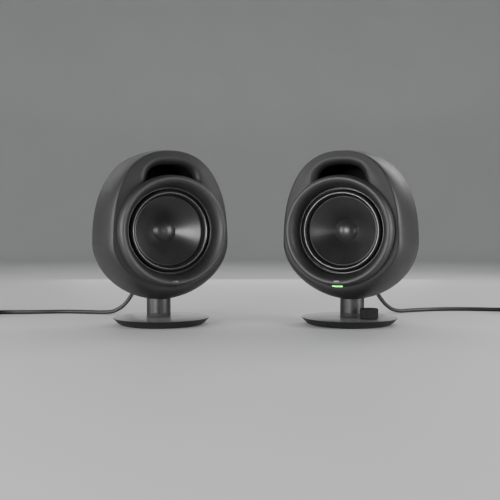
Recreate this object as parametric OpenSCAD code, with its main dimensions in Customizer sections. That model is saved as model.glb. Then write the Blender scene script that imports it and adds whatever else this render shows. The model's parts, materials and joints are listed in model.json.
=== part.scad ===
// Pair of desktop speakers. Two egg-shaped cabinets stand on round feet and are turned in
// towards the listener. Each cabinet tilts on its stem, each cone moves along the driver's
// axis, and the right foot carries a volume knob. Millimetres, +Z up, the fronts face -Y.

/* [Pair] */
// Distance between the two foot centres
pair_spacing = 230; // [200:5:300]
// Angle that each speaker is turned in
toe_in = 23; // [10:1:30]

/* [Cabinet] */
// Width of the cabinet at its widest section
cabinet_w = 160; // [156:1:170]
// Height of the cabinet's highest point above the table
cabinet_top = 211; // [208:1:216]
// Height of the cabinet's lowest point above the table
cabinet_bottom = 29.5; // [28.5:0.5:31]
// Width of the front panel
front_w = 137; // [136:1:142]
// Height of the front panel's top edge
front_top = 207; // [204:1:208]
// Height of the front panel's bottom edge
front_bottom = 46; // [45:0.5:47]
// Height at which every section of the cabinet is widest
widest_z = 100; // [98:1:102]
// Depth, behind the stand's centre, of the widest section
widest_y = 20; // [16:1:24]
// Depth, behind the stand's centre, of the rearmost point
rear_y = 66; // [64:1:72]
// Thickness of the moulded shell
wall = 2.8; // [2.4:0.1:3]

/* [Driver] */
// Height of the driver's axis
driver_z = 114; // [113:0.5:115]
// Outer radius of the bezel ring
bezel_r = 65; // [64:0.5:66]
// How far the bezel's lip stands in front of the stand's centre
bezel_front = 57; // [55:0.5:60]
// Travel of the cone each way, which sets how far the coil reaches past the magnet's gap
cone_travel = 3; // [1:0.5:3.5]

/* [Port] */
// Width of the port's throat
port_w = 57; // [50:1:60]
// Height of the top of the port's throat
port_top = 192; // [188:1:193]
// How far the throat flares out to its mouth in the front panel's face
port_flare = 9; // [4:0.5:9]
// Length of the duct behind the flare
duct_length = 46; // [20:1:54]

/* [Stand] */
// Radius of the foot at its top edge
foot_r = 58.4; // [54:0.2:62]
// Height of the foot's top face
foot_h = 9; // [8.6:0.1:10]
// Radius of the stem
stem_r = 14.8; // [13:0.2:15]
// How far the stem stands behind the foot's centre
stem_y = 12.5; // [8:0.5:16]
// Height of the tilt pin
pivot_z = 44; // [43:0.5:46]

/* [Volume knob] */
// Radius of the knob
knob_r = 11; // [9:0.5:12]
// Height of the knob's top face
knob_top = 21.5; // [19:0.5:24]
// Place of the knob to the right of the right foot's centre
knob_x = 27.5; // [24:0.5:29]
// Place of the knob in front of the right foot's centre
knob_front = 12.5; // [8:0.5:14]

/* [Cords] */
// Diameter of both cords
cord_d = 5.5; // [5:0.1:6]
// Height at which the cords leave the cabinets
exit_z = 54; // [52:1:56]

/* [Hidden] */
$fn = 72;
left = -1;
right = 1;
sides = [left, right];
pair_y = 3;             // puts the pair's own box centrally over the origin
pad_grip = 0.1;         // keeps through-cuts clear of coincident faces

seam_y = -42.5;         // where the front panel meets the rear shell
face_y = seam_y - 2;
spigot_y = seam_y + 3;  // back of the front panel's locating rim
egg_sides = 40;
front_rows = 4;
rear_rows = 6;
round_up = 2.3;         // superellipse powers of the upper and lower halves
round_low = 1.9;
front_round_up = 2.4;

// Driver stack: heights above the driver's own zero plane, which is at the stand's centre
flange_f = 30;
flange_t = 2;
flange_r = 56.6;
seat_r = 57;            // inside of the baffle's driver cup
cup_wall = 2.5;
seat_t = 2.5;
seat_hole_r = 50;
screw_circle = 54;
coil_r = 13;            // outside of the voice coil's former
former_t = 0.6;
winding_t = 0.5;
gap_low = -7;           // back of the top plate, where the magnet's gap ends
coil_low = gap_low - cone_travel - 1;
roll_r = 45;            // middle radius of the surround's half roll
roll_tube = 3.7;
roll_rise = 7;
roll_t = 0.8;
cone_edge_r = 41.6;
cone_edge_f = 30.8;
cap_r = 13.6;
cap_rise = 4.5;
lip_r = 60.6;           // radius of the bezel's foremost line
bezel_inner_r = 51.4;
bezel_mid_f = 47.5;     // where the bezel's outer and inner curves turn straight
bezel_deep_f = 38.5;
light_r = 64.8;         // the light bar's lower face
light_f = 50.2;
light_w = 12.6;
badge_f = bezel_front - 0.9;
badge_r = 58.6;

port_arch_z = 172;      // below this the port's sides are straight
port_floor_r = 61.5;    // the port's floor runs round the driver cup
port_skirt_z = 150;
flare_depth = 10;
flare_steps = 3;
flare_back = face_y + flare_depth;
duct_wall = 1.6;

posts = [[-52, 155], [52, 155], [-38, 72], [38, 72]];
post_r = 4;
boss_y = 18;            // where the baffle's posts meet the shell's bosses
recess_y = 24;
bracket_feet = [[-23.4, 5], [23.4, 5], [-23.4, 20], [23.4, 20]];
bracket_foot_z = 40;
slot_w = 2 * stem_r + 1.6;
slot_front = stem_y - stem_r - 2.5;
slot_back = stem_y + stem_r + 7.7;

tongue_half = 7.5;
knuckle_r = 9;
ear_gap = 0.4;
ear_t = 3;
pin_r = 3;
running = 0.05;         // radial clearance of a turning pin
stem_top = 34;
collar_h = 4.4;         // a fine groove marks off the stem's lowest part
foot_cavity_z = 6;
foot_cavity_r = 43.5;
foot_low_r = 49;
foot_low_z = 0.6;
pad_t = 2.4;
foot_screw_circle = 10.5;

panel_half = 24;
panel_low = 70;
panel_high = 98;
panel_y = 59.5;
panel_t = 2.5;
jack_z = 84;
jack_x = 13;
jack_bore_r = 1.8;
board_y = 43;

// Cords, in the pair's frame. Each route goes on from the straight start behind its strain
// relief, and each tail runs from the coil to the plug.
relief_root = 50;
relief_tip = 86;
straight = 10;          // each cord leaves its strain relief straight for this far
cord_r = cord_d / 2;
tube_sides = 8;
power_center = [390, 118];
link_center = [-390, 83];
coil_out = 36;          // radius of the outermost turns
coil_in = 27.5;
layers = 4;
power_points = [[157, 100, 49.5], [162, 108, 41], [168, 114, 30.5],
    [175, 120, 20.5], [183, 125.5, 12], [193, 131, 5.5], [205, 137, 2.8], [220, 145, 2.8],
    [236, 152, 2.8], [252, 158, 2.8], [270, 162.5, 2.8], [290, 164.5, 2.8], [310, 163.5, 2.8],
    [330, 160.5, 2.8], [350, 156.5, 2.8], [370, 154.3, 2.8], [390, 154, 2.8]];
power_tail = [[426, 118, 19.3], [426.2, 109, 18], [426.6, 99, 14], [427, 88, 8.5],
    [427.4, 77, 4.2], [427.6, 66, 2.8], [427.6, 55, 3.6], [427.6, 46, 5.5], [427.6, 40, 6.5]];
link_points = [[-157, 99.5, 49], [-162.5, 105.5, 39], [-169, 110, 27.5],
    [-176.5, 113, 17], [-185.5, 115, 9], [-196.5, 116, 4], [-210, 117.5, 2.8],
    [-225, 120.5, 2.8], [-242, 124.5, 2.8], [-258, 127, 2.8], [-275, 126.5, 2.8],
    [-292, 123.5, 2.8], [-310, 121.2, 2.8], [-330, 120.2, 2.8], [-350, 119.4, 2.8],
    [-370, 119.1, 2.8], [-390, 119, 2.8]];
link_tail = [[-426, 83, 19.3], [-426.2, 74, 18], [-426.6, 64, 14], [-427, 53, 8.5],
    [-427.4, 42, 4.2], [-427.6, 31, 2.8], [-427.6, 20, 3.3], [-427.6, 11, 4.8], [-427.6, 5, 5.5]];

// ---- Helpers ----

function mix(a, b, t) = a + (b - a) * t;

// A point of a cabinet section: superellipse halves above and below the widest height
function egg_point(half_w, top, bottom, n_up, a) =
    let (n = sin(a) >= 0 ? n_up : round_low,
         reach = sin(a) >= 0 ? top - widest_z : widest_z - bottom)
    [half_w * sign(cos(a)) * pow(abs(cos(a)), 2 / n),
     widest_z + reach * sign(sin(a)) * pow(abs(sin(a)), 2 / n)];

function egg_outline(half_w, top, bottom, n_up) =
    [for (k = [0:egg_sides - 1]) egg_point(half_w, top, bottom, n_up, 360 * k / egg_sides)];

function front_outline(inset) =
    egg_outline(front_w / 2 - inset, front_top - inset, front_bottom + inset, front_round_up);

// Sections from the seam to the widest one: they flare out as a quarter ellipse
function flared_outline(u, inset) =
    let (f = sqrt(1 - pow(1 - u, 2)))
    egg_outline(mix(front_w, cabinet_w, f) / 2 - inset,
        mix(front_top, cabinet_top, f) - inset,
        mix(front_bottom, cabinet_bottom, f) + inset,
        mix(front_round_up, round_up, f));

// Sections behind the widest one: they close as half an ellipsoid
function closing_outline(u, inset) =
    let (f = sqrt(1 - u * u))
    egg_outline((cabinet_w / 2 - inset) * f,
        widest_z + (cabinet_top - widest_z - inset) * f,
        widest_z - (widest_z - cabinet_bottom - inset) * f, round_up);

function at_depth(outline, y) = [for (p = outline) [p.x, y, p.y]];

// The cabinet's whole outer form, or its inside when inset is the wall
module egg_solid(inset, front) {
    rings = concat(
        [at_depth(front_outline(inset), front)],
        [for (i = [1:front_rows]) let (u = i / front_rows)
            at_depth(flared_outline(u, inset), mix(seam_y, widest_y, u))],
        [for (j = [1:rear_rows - 1]) let (u = sin(90 * j / rear_rows))
            at_depth(closing_outline(u, inset), mix(widest_y, rear_y - inset, u))]);
    count = len(rings);
    points = concat([for (ring = rings) each ring], [[0, rear_y - inset, widest_z]]);
    pole = len(points) - 1;
    polyhedron(points, concat(
        [[for (k = [egg_sides - 1:-1:0]) k]],
        [for (i = [0:count - 2], k = [0:egg_sides - 1])
            let (a = i * egg_sides + k, b = i * egg_sides + (k + 1) % egg_sides)
            each [[a, b, b + egg_sides], [a, b + egg_sides, a + egg_sides]]],
        [for (k = [0:egg_sides - 1])
            [(count - 1) * egg_sides + k, (count - 1) * egg_sides + (k + 1) % egg_sides, pole]]));
}

// Turns a speaker in and sets it on its side of the pair
module place(side) {
    translate([side * pair_spacing / 2, pair_y, 0]) rotate([0, 0, -side * toe_in]) children();
}

// A frame on the driver's axis: X across, Y up, Z forwards
module on_axis() {
    translate([0, 0, driver_z]) rotate([90, 0, 0]) children();
}

// An upright outline made thick between two depths
module slab(y_front, y_back) {
    translate([0, y_back, 0]) rotate([90, 0, 0]) linear_extrude(y_back - y_front) children();
}

// A rod along the cabinet's depth
module rod(x, z, y_front, y_back, r) {
    translate([x, y_back, z]) rotate([90, 0, 0]) cylinder(h = y_back - y_front, r = r);
}

module pill(length, width) {
    square([length - width, width], center = true);
    for (s = sides) translate([s * (length - width) / 2, 0]) circle(d = width);
}

// The port's arch, grown all round by so much, without its floor
module arch_form(grow) {
    half = port_w / 2 + grow;
    polygon(concat(
        [[half, port_skirt_z]],
        [for (a = [0:6:180]) [half * sign(cos(a)) * pow(abs(cos(a)), 0.8),
            port_arch_z + (port_top + grow - port_arch_z) * pow(sin(a), 0.8)]],
        [[-half, port_skirt_z]]));
}

// The port's throat, or a wall round it
module arch(grow) {
    difference() {
        arch_form(grow);
        translate([0, driver_z]) circle(r = port_floor_r - grow);
    }
}

// The rounded flare: it leaves the face level with it and runs smoothly into the throat
module flare_form() {
    thin = 0.01;
    difference() {
        for (i = [0:flare_steps - 1]) hull() for (k = [i, i + 1])
            let (a = 90 * k / flare_steps, y = face_y + flare_depth * (1 - cos(a)))
            slab(y - thin, y) arch_form(port_flare * (1 - sin(a)));
        on_axis() cylinder(h = 100, r = port_floor_r);
    }
}

// A round tube swept along points, with each ring square to the way the route runs
function unit(v) = v / norm(v);
function heading(p, i) = unit(p[min(i + 1, len(p) - 1)] - p[max(i - 1, 0)]);
function across(d) = unit(cross(d, [0, 0, 1]));
module tube(points) {
    rings = [for (i = [0:len(points) - 1])
        let (d = heading(points, i), s = across(d), t = cross(s, d))
        each [for (k = [0:tube_sides - 1]) let (a = 360 * k / tube_sides)
            points[i] + cord_r * (cos(a) * s + sin(a) * t)]];
    last = (len(points) - 1) * tube_sides;
    polyhedron(rings, concat(
        [[for (k = [0:tube_sides - 1]) k]],
        [for (i = [0:len(points) - 2], k = [0:tube_sides - 1])
            let (a = i * tube_sides + k, b = i * tube_sides + (k + 1) % tube_sides)
            each [[a, b + tube_sides, b], [a, a + tube_sides, b + tube_sides]]],
        [[for (k = [tube_sides - 1:-1:0]) last + k]]));
}

// A point on a strain relief's axis, so far behind the stand's centre, in the pair's frame
function on_relief(side, far) = [side * (pair_spacing / 2 + far * sin(toe_in)),
    pair_y + far * cos(toe_in), exit_z];

// ---- Cabinet ----

module rear_shell(side) {
    color([0.06, 0.06, 0.065]) place(side) difference() {
        egg_solid(0, seam_y);
        difference() {
            egg_solid(wall, seam_y - 1);
            for (p = posts) rod(p.x, p.y, boss_y, rear_y, 5);
            for (p = bracket_feet) translate([p.x, p.y, 0]) cylinder(h = bracket_foot_z, r = 4);
        }
        for (p = posts) {
            rod(p.x, p.y, boss_y - 1, rear_y, 1.6);
            rod(p.x, p.y, recess_y, rear_y, 3.4);
        }
        for (p = bracket_feet) translate([p.x, p.y, bracket_foot_z - 5]) cylinder(h = 6, r = 1.5);
        stem_slot();
        rod(0, exit_z, relief_root, rear_y, 4.6);
        if (side == right) slab(relief_root, rear_y + 1) panel_outline(0.2);
    }
}

// The slot under the cabinet leaves the stem room to tilt
module stem_slot() {
    half = slot_w / 2;
    length = slot_back - slot_front;
    translate([0, (slot_front + slot_back) / 2, 0]) rotate([0, 0, 90])
        linear_extrude(pivot_z) pill(length, slot_w);
}

module panel_outline(grow) {
    translate([-panel_half - grow, panel_low - grow])
        square([2 * (panel_half + grow), panel_high - panel_low + 2 * grow]);
}

module front_baffle(side) {
    color([0.07, 0.07, 0.075]) place(side) difference() {
        union() {
            slab(face_y, seam_y) polygon(front_outline(0));
            slab(seam_y - pad_grip, spigot_y) polygon(front_outline(wall + 0.3));
            slab(spigot_y - pad_grip, flare_back) arch(3);
            on_axis() translate([0, 0, flange_f - seat_t])
                cylinder(h = -face_y - flange_f + seat_t, r = seat_r + cup_wall);
            for (p = posts) {
                start = p.y > driver_z ? seam_y : -flange_f;
                rod(p.x, p.y, start, boss_y - 0.1, post_r);
            }
        }
        on_axis() {
            cylinder(h = 100, r = seat_hole_r);
            translate([0, 0, flange_f]) cylinder(h = 100, r = seat_r);
            driver_screw_places() translate([0, 0, flange_f - 10]) cylinder(h = 20, r = 1.5);
        }
        slab(face_y - 1, flare_back + 1) arch(0);
        flare_form();
        for (p = posts) rod(p.x, p.y, 4, boss_y + 1, 1.5);
    }
}

module driver_screw_places() {
    for (a = [45:90:315]) rotate([0, 0, a]) translate([screw_circle, 0, 0]) children();
}

// The fat rolled ring round the driver
module bezel_ring(side) {
    rise = bezel_front - bezel_mid_f;
    color([0.05, 0.05, 0.055]) place(side) on_axis() difference() {
        rotate_extrude($fn = 96) polygon(concat(
            [[bezel_r - 1.4, -face_y]],
            [for (a = [-10:10:90])
                [lip_r + (bezel_r - lip_r) * cos(a), bezel_mid_f + rise * sin(a)]],
            [for (a = [80:-10:0])
                [lip_r - (lip_r - bezel_inner_r) * cos(a),
                    bezel_deep_f + (bezel_front - bezel_deep_f) * sin(a)]],
            [[50.3, 37.4], [50.3, 33], [51.4, 33], [51.4, 34.2], [56.7, 34.2],
             [56.7, -face_y]]));
        translate([0, -badge_r, badge_f]) linear_extrude(5) pill(7, 2);
        if (side == right) light_bar_form();
    }
}

module badge(side) {
    color([0.6, 0.6, 0.62]) place(side) on_axis()
        translate([0, -badge_r, badge_f]) linear_extrude(0.8) pill(7, 2);
}

// A small bar let into the bottom of the bezel, a little proud of its curve
module light_bar_form() {
    translate([-light_w / 2, -light_r, light_f]) cube([light_w, 3.5, 3.2]);
}

module light_bar() {
    color([0.2, 0.95, 0.25]) place(right) on_axis() light_bar_form();
}

module port_duct(side) {
    color([0.04, 0.04, 0.042]) place(side)
        slab(flare_back, flare_back + duct_length) difference() {
            arch(duct_wall);
            arch(0);
        }
}

// ---- Driver ----

module driver_basket(side) {
    color([0.15, 0.15, 0.16]) place(side) on_axis() difference() {
        rotate_extrude() polygon([[46.5, flange_f + flange_t], [flange_r, flange_f + flange_t],
            [flange_r, flange_f], [49.6, flange_f], [49.6, 27.5], [35, 3], [34, -2],
            [coil_r + 1.6, -2], [coil_r + 1.6, 0], [29.5, 0], [29.5, 3], [31.7, 3], [32.6, 4.8],
            [46.5, 29]]);
        for (a = [0:60:300]) rotate([0, 0, a]) translate([20, -13, 6]) cube([40, 26, 20]);
        driver_screw_places() translate([0, 0, flange_f - 1]) cylinder(h = 5, r = 1.7);
    }
}

// Rubber half roll with its glue flange and the leg that reaches the cone's edge
module surround(side) {
    base_f = flange_f + flange_t;
    color([0.03, 0.03, 0.032]) place(side) on_axis() rotate_extrude() polygon(concat(
        [[51.2, base_f + roll_t], [48.6, base_f + roll_t]],
        [for (a = [10:10:180]) [roll_r + roll_tube * cos(a), base_f + 0.4 + roll_rise * sin(a)]],
        [[roll_r - roll_tube, cone_edge_f + 0.3], [roll_r - roll_tube + roll_t, cone_edge_f + 0.3]],
        [for (a = [180:-15:0]) [roll_r + (roll_tube - roll_t) * cos(a),
            base_f + 0.4 + (roll_rise - roll_t) * sin(a)]],
        [[roll_r + roll_tube - roll_t, base_f], [51.2, base_f]]));
}

module cone(side) {
    color([0.09, 0.09, 0.1]) place(side) on_axis() rotate_extrude() polygon([
        [cone_edge_r, cone_edge_f - 0.9], [cone_edge_r, cone_edge_f], [39.6, cone_edge_f],
        [coil_r, 12.6], [coil_r, 11.5], [39.9, cone_edge_f - 0.9]]);
}

// A shallow dome over the voice coil
module dust_cap(side) {
    dome = (cap_r * cap_r + cap_rise * cap_rise) / (2 * cap_rise);
    edge = asin(cap_r / dome);
    base_f = 13.3;
    center_f = base_f + cap_rise - dome;
    thick = 0.7;
    color([0.12, 0.12, 0.13]) place(side) on_axis() rotate_extrude() polygon(concat(
        [for (i = [0:8]) let (a = edge * i / 8) [dome * sin(a), center_f + dome * cos(a)]],
        [for (i = [8:-1:0]) let (a = edge * i / 8)
            [(dome - thick) * sin(a), center_f + (dome - thick) * cos(a)]]));
}

module ring(r_in, r_out, low, high) {
    translate([0, 0, low]) difference() {
        cylinder(h = high - low, r = r_out);
        translate([0, 0, -1]) cylinder(h = high - low + 2, r = r_in);
    }
}

module voice_coil(side) {
    color([0.7, 0.4, 0.2]) place(side) on_axis() {
        ring(coil_r - former_t, coil_r, coil_low, 12.4);
        ring(coil_r - pad_grip, coil_r + winding_t, coil_low, -4);
    }
}

// Corrugated disc that centres the voice coil
module spider(side) {
    inner = coil_r + 0.3;
    outer = 29;
    thick = 0.5;
    waves = 5;
    steps = 40;
    color([0.75, 0.6, 0.35]) place(side) on_axis() rotate_extrude() polygon(concat(
        [for (i = [0:steps]) [mix(inner, outer, i / steps),
            4.2 + 0.8 * sin(360 * waves * i / steps)]],
        [[outer, 3.6], [31.2, 3.6], [31.2, 3.05], [outer - 1, 3.05]],
        [for (i = [steps - 3:-1:0]) [mix(inner, outer, i / steps),
            4.2 - thick + 0.8 * sin(360 * waves * i / steps)]]));
}

module top_plate(side) {
    color([0.6, 0.6, 0.62]) place(side) on_axis() ring(coil_r + 1.1, 34, gap_low, -2);
}

module magnet(side) {
    color([0.2, 0.2, 0.2]) place(side) on_axis() ring(20, 38, -21, gap_low);
}

// Back plate with the pole that the voice coil rides over
module yoke(side) {
    pole_r = coil_r - former_t - 0.7;
    color([0.6, 0.6, 0.62]) place(side) on_axis() difference() {
        union() {
            translate([0, 0, -26]) cylinder(h = 5, r = 35);
            translate([0, 0, -22]) cylinder(h = 19.5, r = pole_r);
        }
        translate([0, 0, -27]) cylinder(h = 26, r = 4);
    }
}

module driver_screws(side) {
    color([0.35, 0.35, 0.36]) place(side) on_axis() driver_screw_places() {
        translate([0, 0, flange_f + flange_t]) cylinder(h = 1.6, r = 2.5);
        translate([0, 0, 21]) cylinder(h = 11.5, r = 1.4);
    }
}

// ---- Inside and behind the cabinet ----

module cabinet_screws(side) {
    color([0.35, 0.35, 0.36]) place(side) {
        for (p = posts) {
            rod(p.x, p.y, recess_y, recess_y + 2.4, 3);
            rod(p.x, p.y, 6, recess_y + 1, 1.4);
        }
        for (p = bracket_feet) {
            translate([p.x, p.y, bracket_foot_z + 2.5]) cylinder(h = 2, r = 3);
            translate([p.x, p.y, bracket_foot_z - 4]) cylinder(h = 7, r = 1.4);
        }
    }
}

module damping_pad(side) {
    color([0.35, 0.35, 0.38]) place(side) translate([-30, 38, 118]) cube([60, 10, 47]);
}

// A bridge over the stem: its two ears turn on the tilt pin
module tilt_bracket(side) {
    ear_in = tongue_half + ear_gap;
    color([0.5, 0.5, 0.52]) place(side) difference() {
        union() {
            translate([-30, 1, 58]) cube([60, 23, 3]);
            for (s = sides) {
                translate([s > 0 ? 27 : -30, 1, bracket_foot_z]) cube([3, 23, 19]);
                translate([s > 0 ? 20 : -30, 1, bracket_foot_z]) cube([10, 23, 2.5]);
                translate([s > 0 ? ear_in : -ear_in - ear_t, stem_y, pivot_z])
                    rotate([0, 90, 0]) cylinder(h = ear_t, r = knuckle_r);
                translate([s > 0 ? ear_in : -ear_in - ear_t, stem_y - knuckle_r, pivot_z])
                    cube([ear_t, 2 * knuckle_r, 59 - pivot_z]);
            }
        }
        translate([-20, stem_y, pivot_z]) rotate([0, 90, 0]) cylinder(h = 40, r = pin_r + running);
        for (p = bracket_feet)
            translate([p.x, p.y, bracket_foot_z - 1]) cylinder(h = 5, r = 1.6);
    }
}

// Recessed tray at the back, flush with the shell all round
module jack_panel() {
    color([0.1, 0.1, 0.105]) place(right) difference() {
        union() {
            intersection() {
                egg_solid(0, seam_y);
                slab(panel_y - panel_t, rear_y + 1) panel_outline(0);
            }
            for (x = [-19, 19], z = [77, 93])
                rod(x, z, board_y + 1.6, panel_y - panel_t + pad_grip, 2.5);
        }
        slab(panel_y, rear_y + 2) panel_outline(-1.6);
        for (x = [-jack_x, 0, jack_x]) rod(x, jack_z, board_y, panel_y + 1, 4.1);
    }
}

// Two round audio sockets and, between them, the socket for the link cord
module jack_sockets() {
    color([0.75, 0.75, 0.77]) place(right) {
        for (x = [-jack_x, jack_x]) difference() {
            rod(x, jack_z, 45, panel_y + 0.7, 4);
            rod(x, jack_z, 46, panel_y + 1, jack_bore_r);
        }
        difference() {
            rod(0, jack_z, 45, panel_y + 6, 4);
            rod(0, jack_z, 48, panel_y + 7, 1.7);
        }
    }
}

module amplifier_board() {
    color([0.05, 0.3, 0.15]) place(right) {
        translate([-30, board_y, 66]) cube([60, 1.6, 38]);
        for (x = [-18, -4]) rod(x, 76, board_y - 11.9, board_y, 5);
        for (z = [86, 90, 94, 98]) translate([-24, board_y - 10, z]) cube([30, 10.1, 1.4]);
        translate([-24, board_y - 3, 85]) cube([30, 3, 16]);
        translate([12, board_y - 2, 74]) cube([12, 2, 12]);
    }
}

// ---- Stand ----

module stem(side) {
    color([0.3, 0.3, 0.31]) place(side) difference() {
        union() {
            translate([0, stem_y, foot_h]) cylinder(h = stem_top - foot_h, r = stem_r);
            translate([-tongue_half, stem_y, pivot_z]) rotate([0, 90, 0])
                cylinder(h = 2 * tongue_half, r = knuckle_r);
            translate([-tongue_half, stem_y - knuckle_r, stem_top - 1])
                cube([2 * tongue_half, 2 * knuckle_r, pivot_z - stem_top + 1]);
        }
        translate([-20, stem_y, pivot_z]) rotate([0, 90, 0]) cylinder(h = 40, r = pin_r);
        translate([0, stem_y, foot_h - 1]) cylinder(h = 20, r = 6);
        foot_screw_places() translate([0, 0, foot_h - 1]) cylinder(h = 12, r = 1.5);
        translate([0, stem_y, 0])
            ring(stem_r - 0.3, stem_r + 1, foot_h + collar_h, foot_h + collar_h + 0.4);
    }
}

module foot_screw_places() {
    for (a = [90:120:330]) translate([0, stem_y, 0])
        rotate([0, 0, a]) translate([foot_screw_circle, 0, 0]) children();
}

// A thin dish with a sharp top edge and a sloping flank, hollow underneath
module foot(side) {
    color([0.4, 0.4, 0.41]) place(side) difference() {
        rotate_extrude($fn = 96) polygon(concat(
            [[0, foot_h], [foot_r - 0.4, foot_h]],
            [for (i = [8:-1:0]) let (t = i / 8) [mix(foot_low_r, foot_r, t),
                mix(foot_low_z, foot_h - 0.4, pow(t, 1.4))]],
            [[foot_cavity_r, foot_low_z], [foot_cavity_r, foot_cavity_z], [0, foot_cavity_z]]));
        foot_screw_places() cylinder(h = 20, r = 1.7);
        translate([0, stem_y, 0]) cylinder(h = 20, r = 6);
        if (side == right) knob_place() cylinder(h = 20, r = 5.1);
    }
}

module knob_place() {
    translate([knob_x, -knob_front, 0]) children();
}

module foot_weights() {
    color([0.45, 0.45, 0.47]) for (side = sides) place(side) difference() {
        translate([0, 0, 2.6]) cylinder(h = 3.2, r = 42.5);
        translate([0, stem_y, 0]) cylinder(h = 9, r = 15);
        if (side == right) knob_place() cylinder(h = 9, r = 10.5);
    }
}

module foot_pads() {
    color([0.04, 0.04, 0.04]) for (side = sides) place(side) difference() {
        cylinder(h = pad_t, r = foot_cavity_r - 0.2);
        translate([0, 0, -1]) ring(36, 38, 0, 1.6);
    }
}

module foot_screws() {
    color([0.35, 0.35, 0.36]) for (side = sides) place(side) foot_screw_places() {
        translate([0, 0, 3.4]) cylinder(h = foot_cavity_z - 3.4, r = 2.8);
        translate([0, 0, 5]) cylinder(h = 14, r = 1.4);
    }
}

module pivot_pins() {
    reach = tongue_half + ear_gap + ear_t + 0.3;
    color([0.7, 0.7, 0.72]) for (side = sides) place(side)
        translate([0, stem_y, pivot_z]) rotate([0, 90, 0]) {
            translate([0, 0, -reach]) cylinder(h = 2 * reach, r = pin_r);
            for (s = sides) translate([0, 0, s > 0 ? reach : -reach - 1.6])
                cylinder(h = 1.6, r = 4.6);
        }
}

// The rotary control under the foot's top, with its bushing up through the foot
module volume_control() {
    color([0.3, 0.32, 0.34]) place(right) knob_place() difference() {
        union() {
            translate([-7, -7, 2.6]) cube([14, 14, 3.2]);
            translate([0, 0, 5]) cylinder(h = foot_h - 5, r = 5);
        }
        translate([0, 0, 3]) cylinder(h = 10, r = pin_r + running);
    }
}

module knob_shaft() {
    color([0.75, 0.75, 0.77]) place(right) knob_place()
        translate([0, 0, 3.3]) cylinder(h = knob_top - 7, r = pin_r);
}

module volume_knob() {
    low = foot_h + 0.4;
    color([0.1, 0.1, 0.105]) place(right) knob_place() difference() {
        union() {
            translate([0, 0, low]) cylinder(h = knob_top - low - 1, r = knob_r);
            translate([0, 0, low]) cylinder(h = knob_top - low, r = knob_r - 1);
        }
        translate([0, 0, low - 1]) cylinder(h = knob_top - 3.7 - low + 1, r = pin_r);
        translate([0, 0, low - 1]) cylinder(h = 2.5, r = 8);
    }
}

// ---- Cords ----

// The grommet through the shell and the tapered sleeve behind it
module relief(side) {
    color([0.05, 0.05, 0.05]) place(side) translate([0, 0, exit_z]) rotate([-90, 0, 0])
        rotate_extrude($fn = 48) polygon([[0, relief_root], [4.5, relief_root], [4.5, 61],
            [4.2, 62], [3.3, relief_tip - 1], [3.3, relief_tip], [0, relief_tip]]);
}

module cord(side, points, tail) {
    color([0.05, 0.05, 0.05]) {
        tube(concat([on_relief(side, relief_tip), on_relief(side, relief_tip + straight)],
            points));
        tube(tail);
    }
}

// The outer shape of a wound coil of four layers
module wound_coil(center) {
    soft = 2;
    low_r = coil_in - cord_r;
    high_r = coil_out + cord_r;
    high = layers * cord_d;
    color([0.05, 0.05, 0.05]) translate([center.x, center.y, 0]) rotate_extrude($fn = 64)
        polygon([[low_r + soft, 0], [high_r - soft, 0], [high_r, soft], [high_r, high - soft],
            [high_r - soft, high], [low_r + soft, high], [low_r, high - soft], [low_r, soft]]);
}

// Round signal plug lying on its side: grip, collar, shell and centre pin
module link_plug() {
    tip = link_tail[len(link_tail) - 1];
    color([0.12, 0.12, 0.12]) translate(tip) rotate([90, 0, 0]) {
        rotate_extrude($fn = 48) polygon([[0, 0], [3.6, 0], [4.2, 6], [5.4, 8], [5.4, 28],
            [4.9, 29], [4.15, 29], [4.15, 37], [3.7, 37], [3.7, 30], [1.55, 30],
            [1.55, 42], [0.8, 43.5], [0, 43.5]]);
    }
}

// Flat two-pin plug lying on its side
module power_plug() {
    tip = power_tail[len(power_tail) - 1];
    half_t = tip.z;
    pin_spacing = 18.6;
    color([0.05, 0.05, 0.05]) translate([tip.x, tip.y, 0]) {
        linear_extrude(2 * half_t) polygon([[-4.5, 0], [4.5, 0], [7, -8], [12.5, -18],
            [16.5, -22], [16.5, -35], [-16.5, -35], [-16.5, -22], [-12.5, -18], [-7, -8]]);
        for (s = sides) translate([s * pin_spacing / 2, -34, half_t]) rotate([90, 0, 0]) {
            cylinder(h = 18, r = 2);
            translate([0, 0, 18]) sphere(r = 2, $fn = 24);
        }
    }
}

// ---- The nodes ----

rear_shell(left);  // left_rear_shell
rear_shell(right);  // right_rear_shell
front_baffle(left);  // left_front_baffle
front_baffle(right);  // right_front_baffle
bezel_ring(left);  // left_bezel_ring
bezel_ring(right);  // right_bezel_ring
port_duct(left);  // left_port_duct
port_duct(right);  // right_port_duct
driver_basket(left);  // left_driver_basket
driver_basket(right);  // right_driver_basket
surround(left);  // left_surround
surround(right);  // right_surround
cone(left);  // left_cone
cone(right);  // right_cone
dust_cap(left);  // left_dust_cap
dust_cap(right);  // right_dust_cap
voice_coil(left);  // left_voice_coil
voice_coil(right);  // right_voice_coil
spider(left);  // left_spider
spider(right);  // right_spider
top_plate(left);  // left_top_plate
top_plate(right);  // right_top_plate
magnet(left);  // left_magnet
magnet(right);  // right_magnet
yoke(left);  // left_yoke
yoke(right);  // right_yoke
driver_screws(left);  // left_driver_screws
driver_screws(right);  // right_driver_screws
cabinet_screws(left);  // left_cabinet_screws
cabinet_screws(right);  // right_cabinet_screws
badge(left);  // left_badge
badge(right);  // right_badge
damping_pad(left);  // left_damping_pad
damping_pad(right);  // right_damping_pad
tilt_bracket(left);  // left_tilt_bracket
tilt_bracket(right);  // right_tilt_bracket
light_bar();
jack_panel();
jack_sockets();
amplifier_board();
stem(left);  // left_stem
stem(right);  // right_stem
foot(left);  // left_foot
foot(right);  // right_foot
foot_weights();
foot_pads();
foot_screws();
pivot_pins();
volume_control();
knob_shaft();
volume_knob();
relief(left);  // link_relief
cord(left, link_points, link_tail);  // link_cord
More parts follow.
